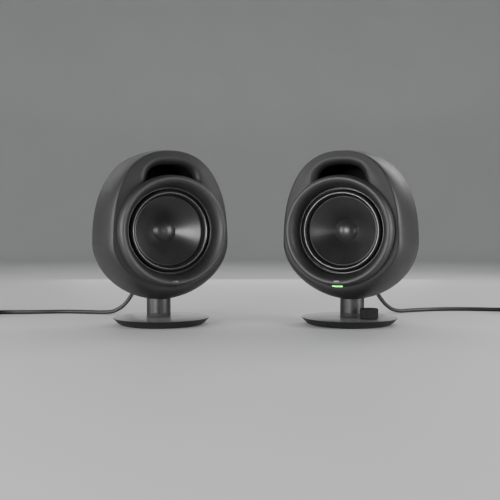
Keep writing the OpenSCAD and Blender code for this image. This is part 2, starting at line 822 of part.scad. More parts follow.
wound_coil(link_center);  // link_coil
link_plug();
relief(right);  // power_relief
cord(right, power_points, power_tail);  // power_cord
wound_coil(power_center);  // power_coil
power_plug();
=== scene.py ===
import json
import math

import bmesh
import bpy
from mathutils import Matrix, Vector
from mathutils.geometry import delaunay_2d_cdt


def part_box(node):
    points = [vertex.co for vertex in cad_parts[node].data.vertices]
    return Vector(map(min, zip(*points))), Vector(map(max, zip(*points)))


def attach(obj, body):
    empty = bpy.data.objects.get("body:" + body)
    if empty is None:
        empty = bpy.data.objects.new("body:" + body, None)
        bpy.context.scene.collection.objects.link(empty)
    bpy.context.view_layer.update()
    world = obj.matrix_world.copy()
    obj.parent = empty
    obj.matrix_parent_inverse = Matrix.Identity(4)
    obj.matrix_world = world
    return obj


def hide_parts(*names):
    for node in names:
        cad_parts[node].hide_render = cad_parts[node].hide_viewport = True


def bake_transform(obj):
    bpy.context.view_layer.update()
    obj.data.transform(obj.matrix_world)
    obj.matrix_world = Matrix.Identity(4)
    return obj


# The looks of a pair of desktop speakers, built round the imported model. Lengths are in
# millimetres until a piece is made, and a speaker's own frame has its foot's centre at the
# origin and faces -Y.

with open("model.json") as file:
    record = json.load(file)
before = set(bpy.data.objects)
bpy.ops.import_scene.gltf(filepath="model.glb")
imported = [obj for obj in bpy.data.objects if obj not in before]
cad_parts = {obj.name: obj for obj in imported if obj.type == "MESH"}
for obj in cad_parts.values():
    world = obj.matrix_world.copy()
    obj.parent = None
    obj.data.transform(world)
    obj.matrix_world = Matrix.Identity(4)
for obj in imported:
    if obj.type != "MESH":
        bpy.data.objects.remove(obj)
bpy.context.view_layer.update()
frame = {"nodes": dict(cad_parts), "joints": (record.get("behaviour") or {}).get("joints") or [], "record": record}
record = frame["record"]
MM = 0.001
LEFT, RIGHT = -1, 1
SIDES = ((LEFT, "left"), (RIGHT, "right"))

# ---- Where things are, from the frame ----

mounts = {m["name"]: Vector(m["pos_m"]) / MM for m in record["mounts"]}
joints = {j["name"]: j for j in frame["joints"]}
foot_center = mounts["right_foot_base"]
tilt = joints["right_tilt"]
toe_in = math.atan2(abs(tilt["axis"][1]), abs(tilt["axis"][0]))
driver_z = sum(corner.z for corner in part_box("right_bezel_ring")) / 2 / MM
foot_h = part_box("right_foot")[1].z / MM
knob_low, knob_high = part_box("volume_knob")
knob_mid = (knob_low + knob_high) / 2 / MM
knob_top = knob_high.z / MM


def speaker(side):
    """A speaker's own frame."""
    return (Matrix.Translation((side * foot_center.x, foot_center.y, 0))
            @ Matrix.Rotation(-side * toe_in, 4, "Z"))


def driver(side):
    """A frame on the driver's axis: X across, Y up, Z forwards."""
    return (speaker(side) @ Matrix.Translation((0, 0, driver_z))
            @ Matrix.Rotation(math.pi / 2, 4, "X"))


BACKWARDS = Matrix.Rotation(-math.pi / 2, 4, "X")
FORWARDS = Matrix.Rotation(math.pi / 2, 4, "X")
pivot = speaker(RIGHT).inverted() @ (Vector(tilt["pos_m"]) / MM)
knob_place = speaker(RIGHT).inverted() @ Vector((knob_mid.x, knob_mid.y, 0))


def make_camera():
    data = bpy.data.cameras.new("camera")
    camera = bpy.data.objects.new("camera", data)
    bpy.context.scene.collection.objects.link(camera)
    distance, height, aside, down = 892.2, 107.1, -6.7, 1.05
    camera.location = Vector((aside, foot_center.y - distance, height)) * MM
    camera.rotation_euler = (math.radians(90 - down), 0, 0)
    data.sensor_width = 36
    data.lens = 52.56
    data.clip_start = 0.01
    bpy.context.scene.camera = camera


make_camera()

# ---- Materials ----

def grey(value):
    return (value, value, value)


def noise(tree, place, scale, detail=2.0, stretch=None):
    made = tree.nodes.new("ShaderNodeTexNoise")
    made.inputs["Scale"].default_value = scale
    made.inputs["Detail"].default_value = detail
    if stretch:
        mapping = tree.nodes.new("ShaderNodeMapping")
        mapping.inputs["Scale"].default_value = stretch
        tree.links.new(place.outputs["Object"], mapping.inputs["Vector"])
        tree.links.new(mapping.outputs["Vector"], made.inputs["Vector"])
    else:
        tree.links.new(place.outputs["Object"], made.inputs["Vector"])
    return made


def span(tree, source, low, high):
    """Maps the middle of a noise to a range of values."""
    made = tree.nodes.new("ShaderNodeMapRange")
    made.inputs["From Min"].default_value = 0.3
    made.inputs["From Max"].default_value = 0.7
    made.inputs["To Min"].default_value = low
    made.inputs["To Max"].default_value = high
    tree.links.new(source.outputs["Fac"], made.inputs["Value"])
    return made


def material(name, color, rough, metal=0.0, vary=0.12, rough_vary=0.05, patch=40.0,
             grain=0.35, grain_scale=1500.0, depth=0.00005, stretch=None, sheen=0.0,
             glow=0.0, spec=0.5):
    """A surface whose colour and roughness drift over patches of a few centimetres, with a fine
    grain on it. stretch draws the grain out along an axis, as brushing does."""
    made = bpy.data.materials.new(name)
    made.use_nodes = True
    tree = made.node_tree
    shader = tree.nodes["Principled BSDF"]
    shader.inputs["Metallic"].default_value = metal
    shader.inputs["Specular IOR Level"].default_value = spec
    shader.inputs["Sheen Weight"].default_value = sheen
    place = tree.nodes.new("ShaderNodeTexCoord")
    broad = noise(tree, place, patch, 4.0)
    tint = tree.nodes.new("ShaderNodeValToRGB")
    dark, light = tint.color_ramp.elements
    dark.position, light.position = 0.3, 0.7
    dark.color = [c * (1 - vary) for c in color] + [1]
    light.color = [c * (1 + vary) for c in color] + [1]
    tree.links.new(broad.outputs["Fac"], tint.inputs["Fac"])
    tree.links.new(tint.outputs["Color"], shader.inputs["Base Color"])
    gloss = span(tree, broad, max(rough - rough_vary, 0.03), rough + rough_vary)
    tree.links.new(gloss.outputs["Result"], shader.inputs["Roughness"])
    fine = noise(tree, place, grain_scale, 2.0, stretch)
    bump = tree.nodes.new("ShaderNodeBump")
    bump.inputs["Strength"].default_value = grain
    bump.inputs["Distance"].default_value = depth
    tree.links.new(fine.outputs["Fac"], bump.inputs["Height"])
    tree.links.new(bump.outputs["Normal"], shader.inputs["Normal"])
    if glow:
        shader.inputs["Emission Color"].default_value = (*color, 1)
        shader.inputs["Emission Strength"].default_value = glow
    return made


FINISHES = {
    "shell": material("shell_satin", grey(0.021), 0.5, spec=0.45),
    "baffle": material("baffle_satin", grey(0.016), 0.5, spec=0.36),
    "bezel": material("bezel_satin", grey(0.014), 0.54, grain=0.12, spec=0.7),
    # A bright metal finish for the line on the surround's crest, a painted highlight where the rubber roll catches
    # the lamps.
    "trim": material("crest_highlight_metal", grey(0.25), 0.34, metal=1.0, grain=0.05),
    "duct": material("duct_matt", grey(0.006), 0.6, spec=0.25),
    "surround": material("surround_rubber", grey(0.012), 0.36, grain=0.15, grain_scale=900),
    "cone": material("cone_fibre", grey(0.016), 0.33, grain=0.3, grain_scale=1100),
    "cap": material("cap_satin", grey(0.016), 0.34, grain=0.1),
    "basket": material("basket_paint", grey(0.05), 0.5),
    "screw": material("screw_black", grey(0.12), 0.35, metal=1.0),
    "badge": material("badge_metal", grey(0.14), 0.45, metal=1.0, grain=0.3,
                      stretch=(0.05, 1.0, 1.0)),
    "stem": material("stem_satin", grey(0.035), 0.44, metal=0.5, grain=0.2,
                     stretch=(1.0, 1.0, 0.03)),
    # Foot: the flank is painted darker, as painted shade, and the top is painted lighter, as painted light from
    # above, over a satin metal finish.
    "foot": material("foot_flank_painted_shade", grey(0.012), 0.5, grain=0.15, spec=0.3),
    "foot_top_painted_light": material("foot_top_painted_light", grey(0.27), 0.34, metal=0.6, grain=0.06,
                         rough_vary=0.02),
    "pad": material("pad_rubber", grey(0.02), 0.75),
    "knob": material("knob_satin", grey(0.012), 0.65, spec=0.15),
    "cord": material("cord_jacket", grey(0.025), 0.45, grain_scale=1300),
    "plug": material("plug_body", grey(0.03), 0.48),
    "plated": material("plated_metal", grey(0.75), 0.22, metal=1.0, grain=0.15),
    "panel": material("panel_matt", grey(0.04), 0.55, grain=0.6),
    "light": material("light_bar", (0.03, 0.8, 0.04), 0.3, grain=0.05, glow=12.0),
    "board": material("board_green", (0.02, 0.12, 0.05), 0.35),
    "felt": material("felt_grey", grey(0.3), 0.95, grain=1.0, grain_scale=600, depth=0.0006,
                     sheen=0.3),
    "steel": material("zinc_steel", grey(0.6), 0.35, metal=1.0),
    "iron": material("cast_iron", grey(0.2), 0.6, metal=0.8, grain=0.9, grain_scale=500),
    "ferrite": material("ferrite", grey(0.06), 0.6),
    "copper": material("coil_copper", (0.75, 0.35, 0.16), 0.35, metal=1.0),
    "cloth": material("spider_cloth", (0.55, 0.4, 0.18), 0.85, grain=1.0, grain_scale=900,
                      depth=0.0002),
    "floor": material("floor_pale", grey(0.62), 0.6, vary=0.02, patch=3.0, grain=0.1),
}

# ---- Mesh helpers: a part is its points and its faces ----

def new_object(name, part, where=None):
    mesh = bpy.data.meshes.new(name)
    points = [where @ Vector(p) * MM for p in part[0]] if where else part[0]
    mesh.from_pydata(points, [], part[1])
    work = bmesh.new()
    work.from_mesh(mesh)
    bmesh.ops.remove_doubles(work, verts=work.verts, dist=2e-6 if where else 2e-4)
    bmesh.ops.recalc_face_normals(work, faces=work.faces)
    work.to_mesh(mesh)
    work.free()
    made = bpy.data.objects.new(name, mesh)
    bpy.context.scene.collection.objects.link(made)
    return made


def put(name, part, where, finish, body, replaces=(), sharp=38):
    """Makes a piece from a part in the given frame, and sets it on its body."""
    piece = new_object(name, part, where)
    piece.data.shade_smooth()
    piece.data.set_sharp_from_angle(angle=math.radians(sharp))
    piece.data.materials.append(FINISHES[finish])
    if body:
        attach(piece, body)
    if replaces:
        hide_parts(*replaces)
    return piece


def bridge(rings, caps=False):
    """Faces between loops of equal length, and flat ends where caps is set."""
    n = len(rings[0])
    faces = [(a + k, a + (k + 1) % n, a + n + (k + 1) % n, a + n + k)
             for a in range(0, (len(rings) - 1) * n, n) for k in range(n)]
    if caps:
        last = (len(rings) - 1) * n
        faces += [list(range(n)), list(range(last, last + n))]
    return [p for ring in rings for p in ring], faces


def lathe(profile, n=192, closed=False):
    """Turns (radius, height) points about Z. Points on the axis close the form."""
    verts, rows, faces = [], [], []
    for r, z in profile:
        count = 1 if r < 1e-6 else n
        rows.append([len(verts) + k % count for k in range(n)])
        verts += [(r * math.cos(math.tau * k / n), r * math.sin(math.tau * k / n), z)
                  for k in range(count)]
    for i in range(len(rows) if closed else len(rows) - 1):
        a, b = rows[i], rows[(i + 1) % len(rows)]
        for k in range(n):
            m = (k + 1) % n
            face = list(dict.fromkeys((a[k], a[m], b[m], b[k])))
            if len(face) > 2:
                faces.append(face)
    return verts, faces


def arc(cx, cy, rx, start, end, steps, ry=None):
    """Points of an arc, or of an ellipse's, with angles in degrees."""
    turn = [math.radians(start + (end - start) * i / steps) for i in range(steps + 1)]
    return [(cx + rx * math.cos(a), cy + (ry or rx) * math.sin(a)) for a in turn]


def joined(*parts):
    verts, faces = [], []
    for points, loops in parts:
        base = len(verts)
        verts += list(points)
        faces += [[i + base for i in loop] for loop in loops]
    return verts, faces


def moved(part, matrix):
    return [matrix @ Vector(p) for p in part[0]], part[1]


def at(x, y, z):
    return Matrix.Translation((x, y, z))


def prism(outline, low, high):
    """An outline in X and Y made thick between two heights."""
    return bridge([[(x, y, z) for x, y in outline] for z in (low, high)], caps=True)


def upright(outline, front, back):
    """An outline in X and Z made thick between two depths."""
    return bridge([[(x, y, z) for x, z in outline] for y in (front, back)], caps=True)


def rod(x, z, front, back, r, n=40):
    """A round rod along the cabinet's depth."""
    return upright(arc(x, z, r, 0, 360 - 360 / n, n - 1), front, back)


def rounded_box(low, high, r, segments=4):
    """A block whose edges are all rounded."""
    work = bmesh.new()
    bmesh.ops.create_cube(work, size=1)
    for v in work.verts:
        v.co = [a if c < 0 else b for a, b, c in zip(low, high, v.co)]
    bmesh.ops.bevel(work, geom=work.edges[:], offset=r, segments=segments, profile=0.5,
                    affect="EDGES")
    work.verts.index_update()
    part = [v.co.copy() for v in work.verts], [[v.index for v in f.verts] for f in work.faces]
    work.free()
    return part


def rounded_loop(half_x, half_z, r, cx=0, cz=0, steps=6):
    """A rectangle with rounded corners."""
    loop = []
    for sx, sz, start in ((1, 1, 0), (-1, 1, 90), (-1, -1, 180), (1, -1, 270)):
        loop += arc(cx + sx * (half_x - r), cz + sz * (half_z - r), r, start, start + 90, steps)
    return loop


def pill(length, width, steps=12):
    reach = (length - width) / 2
    return (arc(reach, 0, width / 2, -90, 90, steps)
            + arc(-reach, 0, width / 2, 90, 270, steps))


def carve(base, *cutters, how="DIFFERENCE"):
    """The base with the cutters taken away from it, one after another."""
    body = new_object("carved", base)
    scratch = [body]
    for cutter in cutters:
        tool = new_object("cutter", cutter)
        scratch.append(tool)
        step = body.modifiers.new("carve", "BOOLEAN")
        step.operation = how
        step.solver = "EXACT"
        step.object = tool
    made = body.evaluated_get(bpy.context.evaluated_depsgraph_get()).to_mesh()
    part = [v.co.copy() for v in made.vertices], [tuple(f.vertices) for f in made.polygons]
    for item in scratch:
        bpy.data.meshes.remove(item.data)
    return part


def tube(points, radius, sides=16):
    """A round tube along points, with its rings carried along without twisting."""
    pts = [Vector(p) for p in points]
    rings, side = [], None
    for i, p in enumerate(pts):
        ahead = (pts[min(i + 1, len(pts) - 1)] - pts[max(i - 1, 0)]).normalized()
        side = side or ahead.orthogonal()
        side = (side - ahead * side.dot(ahead)).normalized()
        up = ahead.cross(side)
        rings.append([p + radius * (math.cos(math.tau * k / sides) * side
                                    + math.sin(math.tau * k / sides) * up)
                      for k in range(sides)])
    return bridge(rings, caps=True)


# ---- Cords: each has the route that its plain solids have in the model ----

CORD_D = 5.5
EXIT_Z = 54
RELIEF_TIP = 86
STRAIGHT = 10
COIL_OUT, COIL_IN, LAYERS, HOP = 36, 27.5, 4, 0.356
FLOOR = 2.8
CORDS = {
    "power": dict(side=RIGHT, center=(390, 118), route=[
        (157, 100, 49.5), (162, 108, 41), (168, 114, 30.5), (175, 120, 20.5),
        (183, 125.5, 12), (193, 131, 5.5), (205, 137, FLOOR), (220, 145, FLOOR),
        (236, 152, FLOOR), (252, 158, FLOOR), (270, 162.5, FLOOR), (290, 164.5, FLOOR),
        (310, 163.5, FLOOR), (330, 160.5, FLOOR), (350, 156.5, FLOOR),
        (370, 154.3, FLOOR), (390, 154, FLOOR)], tail=[
        (426, 118, 19.3), (426.2, 109, 18), (426.6, 99, 14), (427, 88, 8.5),
        (427.4, 77, 4.2), (427.6, 66, FLOOR), (427.6, 55, 3.6), (427.6, 46, 5.5),
        (427.6, 40, 6.5)]),
    "link": dict(side=LEFT, center=(-390, 83), route=[
        (-157, 99.5, 49), (-162.5, 105.5, 39), (-169, 110, 27.5), (-176.5, 113, 17),
        (-185.5, 115, 9), (-196.5, 116, 4), (-210, 117.5, FLOOR), (-225, 120.5, FLOOR),
        (-242, 124.5, FLOOR), (-258, 127, FLOOR), (-275, 126.5, FLOOR),
        (-292, 123.5, FLOOR), (-310, 121.2, FLOOR), (-330, 120.2, FLOOR),
        (-350, 119.4, FLOOR), (-370, 119.1, FLOOR), (-390, 119, FLOOR)], tail=[
        (-426, 83, 19.3), (-426.2, 74, 18), (-426.6, 64, 14), (-427, 53, 8.5),
        (-427.4, 42, 4.2), (-427.6, 31, FLOOR), (-427.6, 20, 3.3), (-427.6, 11, 4.8),
        (-427.6, 5, 5.5)]),
}


def smooth_line(points, step=2.5):
    """A curve through the points, as points about a step apart."""
    pts = [Vector(p) for p in points]
    pts = [2 * pts[0] - pts[1], *pts, 2 * pts[-1] - pts[-2]]
    out = []
    for a, b, c, d in zip(pts, pts[1:], pts[2:], pts[3:]):
        cuts = max(2, round((c - b).length / step))
        for t in (i / cuts for i in range(cuts)):
            out.append(0.5 * (2 * b + (c - a) * t + (2 * a - 5 * b + 4 * c - d) * t * t
                              + (3 * b - a - 3 * c + d) * t ** 3))
    return out + [pts[-2]]


def coil_line(center, side, cuts=72):
    """Flat layers of turns, wound in, out, in and out, each hop climbing one diameter."""
    turns = (COIL_OUT - COIL_IN) / CORD_D
    total = LAYERS * turns + (LAYERS - 1) * HOP
    line = []
    for i in range(round(total * cuts) + 1):
        whole = total * i / round(total * cuts)
        left = whole
        for layer in range(LAYERS):
            near, far = (COIL_OUT, COIL_IN) if layer % 2 == 0 else (COIL_IN, COIL_OUT)
            if left <= turns or layer == LAYERS - 1:
                r, level = near + (far - near) * min(left / turns, 1), layer
                break
            left -= turns
            if left <= HOP:
                rise = left / HOP
                r, level = far, layer + rise * rise * (3 - 2 * rise)
                break
            left -= HOP
        angle = math.pi / 2 - side * math.tau * whole
        line.append(Vector((center[0] + r * math.cos(angle), center[1] + r * math.sin(angle),
                            CORD_D * (level + 0.5))))
    return line


def make_relief(name, side, body):
    """The grommet through the shell, and a tapered sleeve with flexing ribs behind it."""
    profile = [(0, 50.2), (4.3, 50.2), (4.4, 56), (5.3, 58), (5.3, 60.5), (4.9, 61.2)]
    ribs = 8
    for i in range(ribs):
        taper = i / (ribs - 1)
        start, r = 62 + i * 2.85, 4.4 - 1.05 * taper
        profile += [(r - 0.5, start), (r, start + 0.3), (r - 0.03, start + 1.7),
                    (r - 0.55, start + 2.0)]
    profile += [(3.3, 84.9), (3.2, 85.7), (2.9, 86), (0, 86)]
    return put(name + "_strain_relief", lathe(profile, 64),
               speaker(side) @ at(0, 0, EXIT_Z) @ BACKWARDS, "cord", body,
               [name + "_relief"], 50)


def make_link_plug(tip):
    """Round signal plug lying on its side: ribbed grip, slotted shell and centre pin."""
    grip = [(0, -0.5), (3.1, -0.5), (3.6, 0), (4.0, 5), (4.6, 6.6), (5.2, 8)]
    for i in range(9):
        start = 8.6 + i * 2.05
        grip += [(5.4, start), (5.4, start + 1.15), (5.0, start + 1.35), (5.0, start + 1.85)]
    grip += [(5.4, 27.2), (5.4, 27.7), (4.9, 28.3), (0, 28.3)]
    metal = [(0, 28), (4.5, 28), (4.7, 28.3), (4.7, 29.6), (4.3, 29.9), (4.15, 30.3),
             (4.15, 36.6), (3.95, 37), (3.7, 37), (3.7, 30.4), (1.55, 30.4), (1.55, 42),
             (1.3, 42.8), (0.7, 43.4), (0, 43.5)]
    where = at(*tip) @ FORWARDS
    return [put("link_plug_grip", lathe(grip, 64), where, "plug", "stands", ["link_plug"],
                30),
            put("link_plug_metal", lathe(metal, 64), where, "plated", "stands", (),
                30)]


def make_power_plug(tip):
    """Flat two-pin plug lying on its side: a waisted body with grip ridges, and round pins."""
    half = [(3.6, 0.4), (4.6, -2), (6, -6), (8.6, -11.5), (12.2, -17.5), (14.9, -20.6),
            (16.2, -23.5), (16.5, -27), (16.5, -35)]
    edge = [Vector((p.x, p.y)) for p in smooth_line([(x, y, 0) for x, y in half], 1.2)]
    loop = [*edge, *[Vector((-p.x, p.y)) for p in reversed(edge)]]
    middle = Vector((0, -20))
    half_t = tip[2]
    rings = []
    for x, z in arc(0, 0, 2.4, 90, 0, 5):
        rings.append([(*(middle + (p - middle) * (1 - (2.4 - x) / 18)), half_t - 2.4 + z)
                      for p in loop])
    rings += [[(x, y, -z) for x, y, z in ring] for ring in reversed(rings)]
    parts = [bridge(rings, caps=True)]
    for i in range(5):
        back = -21.5 - 2.6 * i
        for face in (-1, 1):
            parts.append(tube([(x, back, face * (half_t - 0.45)) for x in (-11, 0, 11)], 0.45, 10))
    pin = [(0, -1), (2.0, -1), (2.0, 16.4), (1.75, 18.2), (1.1, 19.5), (0, 20)]
    pins = [moved(lathe(pin, 40), at(s * 9.3, -34, 0) @ FORWARDS) for s in (-1, 1)]
    return [put("power_plug_body", joined(*parts), at(*tip), "plug", "stands",
                ["power_plug"], 35),
            put("power_plug_pins", joined(*pins), at(*tip), "plated", "stands", (),
                40)]


def make_tie(name, center, angle):
    """A flat wire tie, twisted on top of the coil's bundle of turns."""
    mid = (COIL_OUT + COIL_IN) / 2
    half_w = (COIL_OUT - COIL_IN + CORD_D) / 2 + 0.4
    top = LAYERS * CORD_D + 0.4
    loop = rounded_loop(half_w, top / 2, 2.6, mid, top / 2)
    outer = rounded_loop(half_w + 0.5, top / 2 + 0.2, 2.8, mid, top / 2 + 0.1)
    band = [[(x, y, z) for x, z in ring]
            for ring, y in ((loop, -1.8), (outer, -1.5), (outer, 1.5), (loop, 1.8))]
    verts, faces = bridge(band + [band[0]])
    tails = [tube(smooth_line([(mid - 1, 0, top), (mid + 2, 3 * s, top + 0.6),
                               (mid + 3, 7 * s, top + 0.4), (mid + 2, 11 * s, top - 0.2)], 1),
                  0.7, 10) for s in (-1, 1)]
    where = at(center[0], center[1], 0) @ Matrix.Rotation(angle, 4, "Z")
    return put(name + "_tie", joined((verts, faces), *tails), where, "plug", "stands", (),
               40)


def make_cord(name):
    spec = CORDS[name]
    side = spec["side"]
    body = "right_cabinet" if side == RIGHT else "left_cabinet"
    start, straight_end, settled = (
        speaker(side) @ Vector((0, RELIEF_TIP + far, EXIT_Z)) for far in (0, STRAIGHT, 52))
    line = smooth_line([start, straight_end, *spec["route"]])[:-1]
    line += coil_line(spec["center"], side)[:-1]
    line += smooth_line(spec["tail"])
    piece = put(name + "_cable", tube(line, CORD_D / 2), Matrix.Identity(4), "cord", None,
                [name + "_cord", name + "_coil"], 60)
    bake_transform(piece)
    make_plug = make_power_plug if name == "power" else make_link_plug
    on_it = [make_relief(name, side, body), *make_plug(spec["tail"][-1]),
             make_tie(name, spec["center"], math.radians(125))]


for cord_name in CORDS:
    make_cord(cord_name)

# ---- Cabinet: the model's sections, drawn finer and a little slimmer just behind the seam ----

CABINET_W, CABINET_TOP, CABINET_BOTTOM = 160, 211, 29.5
FRONT_W, FRONT_TOP, FRONT_BOTTOM = 137, 207, 46
WIDEST_Z, WIDEST_Y, REAR_Y, SEAM_Y = 100, 20, 66, -42.5
ROUND_UP, ROUND_LOW, FRONT_ROUND_UP = 2.3, 1.9, 2.4
FLARE_POWER = 1.2
WALL = 2.8
EGG_SIDES = 160
POSTS = [(-52, 155), (52, 155), (-38, 72), (38, 72)]
BRACKET_FEET = [(x, y) for x in (-23.4, 23.4) for y in (5, 20)]
STEM_R, STEM_TOP = 14.8, 34
JACK_Z, PANEL_HALF, PANEL_LOW, PANEL_HIGH, PANEL_Y = 84, 24, 70, 98, 59.5


def mix(a, b, t):
    return a + (b - a) * t


def egg_loop(half_w, top, bottom, power):
    """Superellipse halves above and below the widest height, as (x, z) points."""
    loop = []
    for k in range(EGG_SIDES):
        c, s = math.cos(math.tau * k / EGG_SIDES), math.sin(math.tau * k / EGG_SIDES)
        n = power if s >= 0 else ROUND_LOW
        reach = top - WIDEST_Z if s >= 0 else WIDEST_Z - bottom
        loop.append((half_w * math.copysign(abs(c) ** (2 / n), c),
                     WIDEST_Z + reach * math.copysign(abs(s) ** (2 / n), s)))
    return loop


def front_loop(inset):
    return egg_loop(FRONT_W / 2 - inset, FRONT_TOP - inset, FRONT_BOTTOM + inset,
                    FRONT_ROUND_UP)


def at_depth(loop, y):
    return [(x, y, z) for x, z in loop]


def egg(inset, first):
    """The cabinet's outer form, or its inside when inset is the wall. first holds the rings
    in front of the seam's."""
    rings = list(first)
    flare, close = 16, 28
    for i in range(flare + 1):
        turn = math.pi / 2 * i / flare
        f = math.sin(turn) ** FLARE_POWER
        rings.append(at_depth(egg_loop(mix(FRONT_W, CABINET_W, f) / 2 - inset,
                                       mix(FRONT_TOP, CABINET_TOP, f) - inset,
                                       mix(FRONT_BOTTOM, CABINET_BOTTOM, f) + inset,
                                       mix(FRONT_ROUND_UP, ROUND_UP, f)),
                              mix(SEAM_Y, WIDEST_Y, 1 - math.cos(turn))))
    for i in range(1, close):
        turn = math.pi / 2 * i / close
        f = math.cos(turn)
        rings.append(at_depth(egg_loop((CABINET_W / 2 - inset) * f,
                                       WIDEST_Z + (CABINET_TOP - WIDEST_Z - inset) * f,
                                       WIDEST_Z - (WIDEST_Z - CABINET_BOTTOM - inset) * f,
                                       ROUND_UP),
                              mix(WIDEST_Y, REAR_Y - inset, math.sin(turn))))
    verts, faces = bridge(rings)
    pole, last = len(verts), len(verts) - EGG_SIDES
    verts.append((0, REAR_Y - inset, WIDEST_Z))
    faces += [(last + k, last + (k + 1) % EGG_SIDES, pole) for k in range(EGG_SIDES)]
    faces.append(list(range(EGG_SIDES)))
    return verts, faces


def panel_block(grow, corner, front, back):
    mid = (PANEL_LOW + PANEL_HIGH) / 2
    half_z = (PANEL_HIGH - PANEL_LOW) / 2
    return upright(rounded_loop(PANEL_HALF + grow, half_z + grow, corner, 0, mid), front, back)


def make_rear_shell(side, name):
    """The moulded shell: screw bosses inside, and cut-outs for stem, cord and sockets."""
    rim, lip = 0.35, 0.3
    outer = egg(0, [at_depth(front_loop(rim), SEAM_Y + lip)])
    inner = egg(WALL, [at_depth(front_loop(WALL), SEAM_Y - 1)])
    bosses = [rod(x, z, 18, REAR_Y, 5) for x, z in POSTS]
    bosses += [prism(arc(x, y, 4, 0, 351, 39), 0, 40) for x, y in BRACKET_FEET]
    hollow = carve(inner, joined(*bosses))
    cuts = [moved(lathe([(0, 17), (1.6, 17), (1.6, 24), (3.4, 24), (3.4, 70), (0, 70)], 40),
                  at(x, 0, z) @ BACKWARDS) for x, z in POSTS]
    cuts += [prism(arc(x, y, 1.5, 0, 345, 23), 35, 42) for x, y in BRACKET_FEET]
    slot_front, slot_back = pivot.y - STEM_R - 2.5, pivot.y + STEM_R + 7.7
    slot = [(y, x) for x, y in pill(slot_back - slot_front, 2 * STEM_R + 1.6, 24)]
    cuts.append(moved(prism(slot, 10, pivot.z), at(0, (slot_front + slot_back) / 2, 0)))
    cuts.append(rod(0, EXIT_Z, 50, REAR_Y + 1, 4.6))
    if side == RIGHT:
        cuts.append(panel_block(0.25, 1.6, 50, REAR_Y + 1))
    shell = carve(outer, hollow, joined(*cuts))
    put(name + "_shell", shell, speaker(side), "shell", name + "_cabinet",
        [name + "_rear_shell"], 32)


# ---- Front baffle ----

FACE_Y = SEAM_Y - 2
SPIGOT_Y = SEAM_Y + 3
EDGE_W, SEAM_GAP = 5.5, 0.35
PORT_HALF, PORT_TOP, PORT_ARCH_Z, PORT_FLOOR_R = 28.5, 192, 172, 61.5
FLARE, FLARE_DEPTH = 9, 10
FLARE_BACK = FACE_Y + FLARE_DEPTH
DUCT_END, DUCT_WALL = FLARE_BACK + 46, 1.6
CUP_R, CUP_OUT_R, SEAT_R, SEAT_F, SEAT_T = 57, 59.5, 50, 30, 2.5
CROWN_W, CROWN = 13, 1.5


def arch_loop(grow, floor_grow):
    """The port's arch, with straight sides over a floor that rounds the driver."""
    half, steps = PORT_HALF + grow, 96
    loop = []
    for i in range(steps + 1):
        c, s = math.cos(math.pi * i / steps), math.sin(math.pi * i / steps)
        loop.append((half * math.copysign(abs(c) ** 0.8, c),
                     PORT_ARCH_Z + (PORT_TOP + grow - PORT_ARCH_Z) * abs(s) ** 0.8))
    r = PORT_FLOOR_R - floor_grow
    corner = driver_z + math.sqrt(r * r - half * half)
    side = [mix(PORT_ARCH_Z, corner, t) for t in (0.25, 0.5, 0.75)]
    start = math.degrees(math.acos(half / r))
    floor = arc(0, driver_z, r, 180 - start, start, 32)
    return loop + [(-half, z) for z in side] + floor + [(half, z) for z in reversed(side)]


def circle_loop(r, n=160):
    return arc(0, driver_z, r, 0, 360 - 360 / n, n - 1)


OUTLINE = [Vector(p) for p in front_loop(0)]


def crowned(x, z):
    """The depth of the front face, which falls away gently towards its outline."""
    near = min(min((Vector((x, z)) - p).length for p in OUTLINE) / CROWN_W, 1)
    return FACE_Y + CROWN * (1 - near * near * (3 - 2 * near))


def inside(x, z, loop):
    hit = False
    for (x0, z0), (x1, z1) in zip(loop, loop[1:] + loop[:1]):
        if (z0 > z) != (z1 > z) and x < (x1 - x0) * (z - z0) / (z1 - z0) + x0:
            hit = not hit
    return hit


def plate(outline, holes, depth, spacing):
    """A face inside an outline and round its holes, with points spread over it."""
    loops = [outline, *holes]
    points, edges = [], []
    for loop in loops:
        base, n = len(points), len(loop)
        points += [Vector(p) for p in loop]
        edges += [(base + k, base + (k + 1) % n) for k in range(n)]
    on_loops = len(points)
    for i in range(-16, 17):
        for j in range(0, 45):
            p = Vector((i * spacing + (j % 2) * spacing / 2, FRONT_BOTTOM + j * spacing * 0.866))
            if (min((p - q).length for q in points[:on_loops]) > spacing * 0.45
                    and inside(p.x, p.y, outline) and not any(inside(p.x, p.y, h) for h in holes)):
                points.append(p)
    flat, _, faces, source, _, _ = delaunay_2d_cdt(points, edges, [], 0, 1e-5)
    kept = []
    for face in faces:
        mid = sum((flat[k] for k in face), Vector((0, 0))) / len(face)
        if inside(mid.x, mid.y, outline) and not any(inside(mid.x, mid.y, h) for h in holes):
            kept.append([source[k][0] for k in face])
    return [(p.x, depth(p.x, p.y), p.y) for p in points], kept


